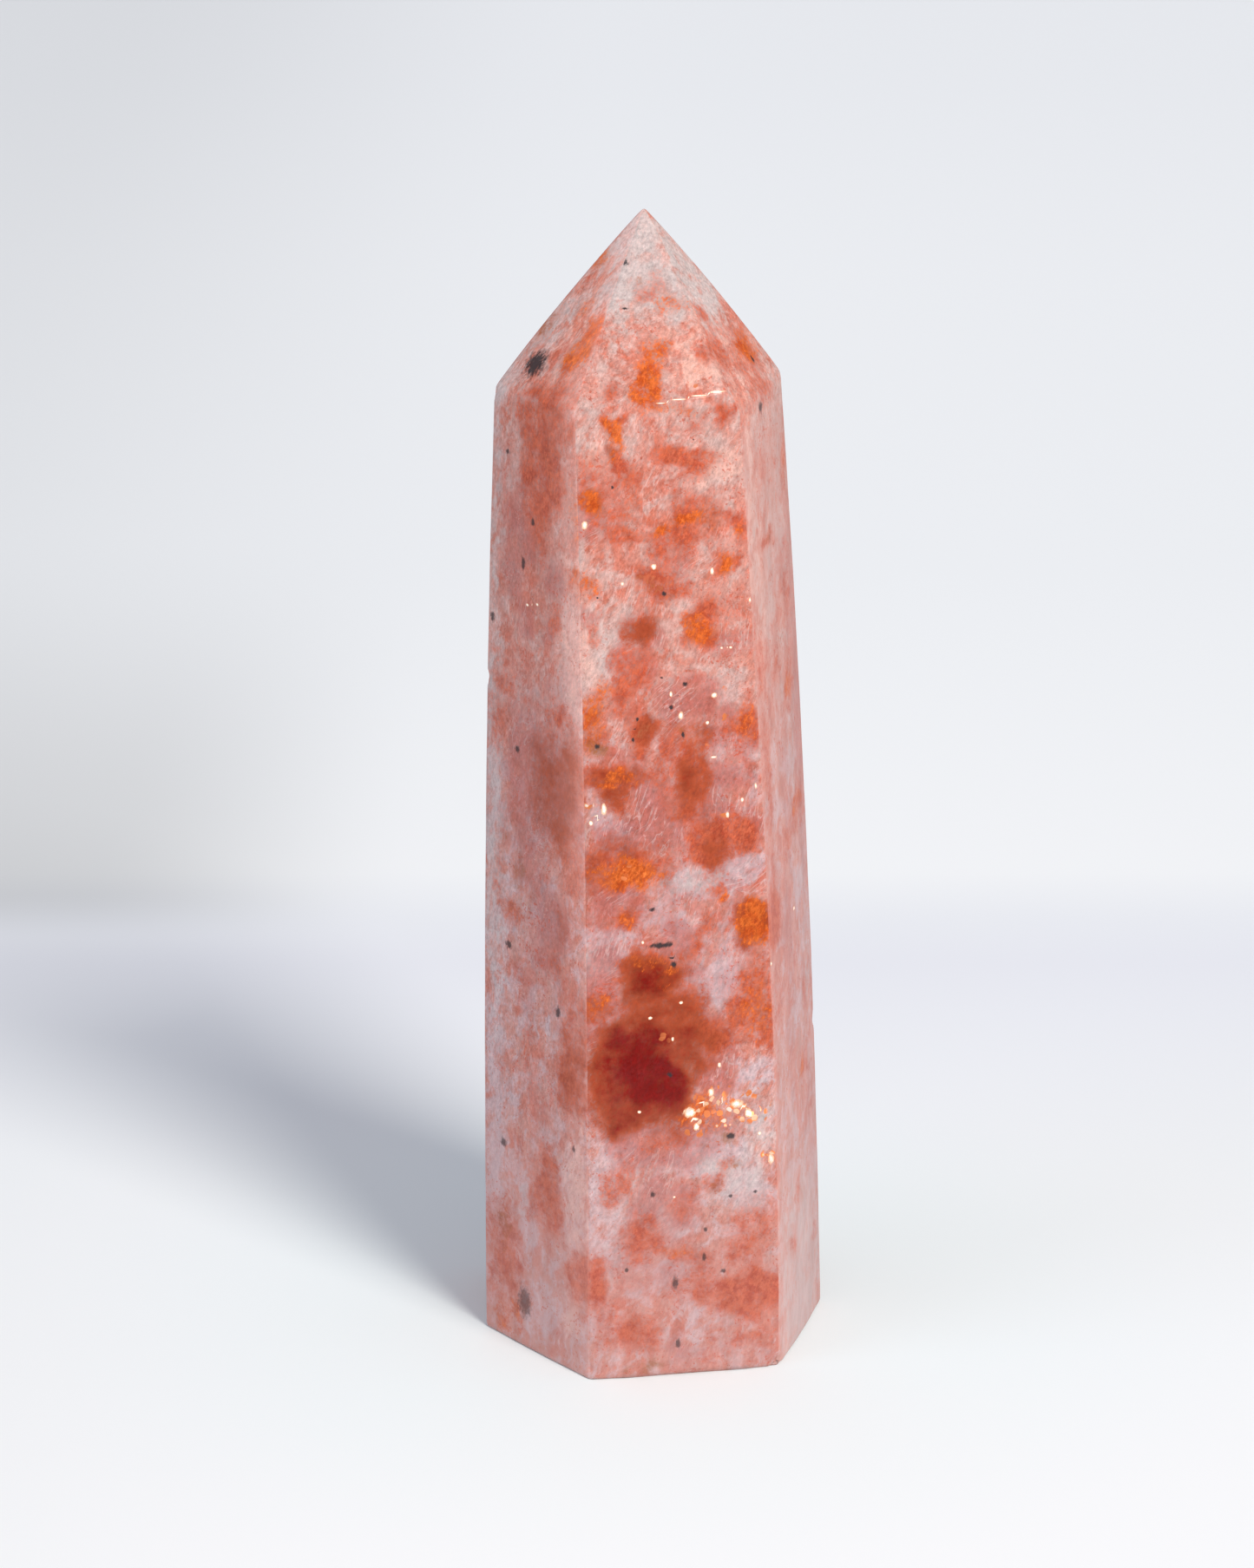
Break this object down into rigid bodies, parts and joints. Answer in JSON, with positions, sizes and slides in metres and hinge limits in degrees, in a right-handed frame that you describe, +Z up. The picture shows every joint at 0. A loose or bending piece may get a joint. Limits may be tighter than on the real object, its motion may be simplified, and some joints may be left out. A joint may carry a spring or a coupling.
{
  "type": "sunstone tower",
  "caption": "Polished sunstone cut as a tapering hexagonal tower with a faceted point, standing on its flat foot.",
  "frame": {"origin": "middle of the foot, on the surface the stone stands on", "axes": "+Z up from the foot to the tip, -Y out of the widest long face, +X to the right as that face is looked at"},
  "size_m": [0.0274, 0.0238, 0.09],
  "materials": {
    "sunstone": "polished, milky pink with orange-red flakes"
  },
  "bodies": {
    "root": {"sunstone_tower": "sunstone"}
  },
  "joints": []
}
